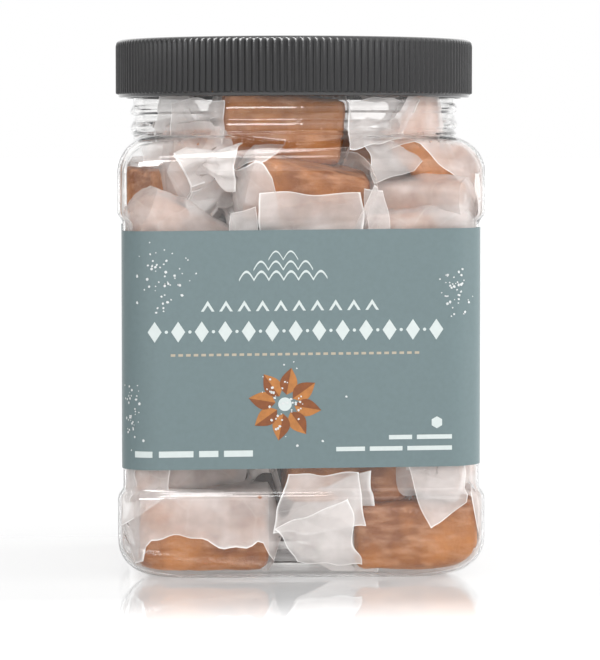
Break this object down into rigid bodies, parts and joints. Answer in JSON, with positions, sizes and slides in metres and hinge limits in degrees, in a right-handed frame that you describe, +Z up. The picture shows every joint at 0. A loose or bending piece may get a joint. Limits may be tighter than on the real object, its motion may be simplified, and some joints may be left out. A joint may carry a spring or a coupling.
{
  "type": "jar of wrapped salted caramels",
  "caption": "Clear square wide-mouth jar with a ribbed screw lid and a wrap-round label, filled with paper-wrapped caramel sweets.",
  "frame": {"origin": "middle of the jar's standing ring, on the surface it stands on", "axes": "+Z up through the lid, -Y out of the front face, +X to the right seen from the front"},
  "size_m": [0.093, 0.093, 0.1361],
  "materials": {
    "clear_plastic": "clear, glossy, blow-moulded",
    "lid_plastic": "moulded, satin, finely ribbed",
    "printed_label": "printed film, matt",
    "caramel": "soft caramel, satin",
    "waxed_paper": "translucent waxed paper, crumpled"
  },
  "bodies": {
    "root": {"jar": "clear_plastic", "lid": "lid_plastic", "label": "printed_label", "caramels": "caramel"}
  },
  "joints": []
}
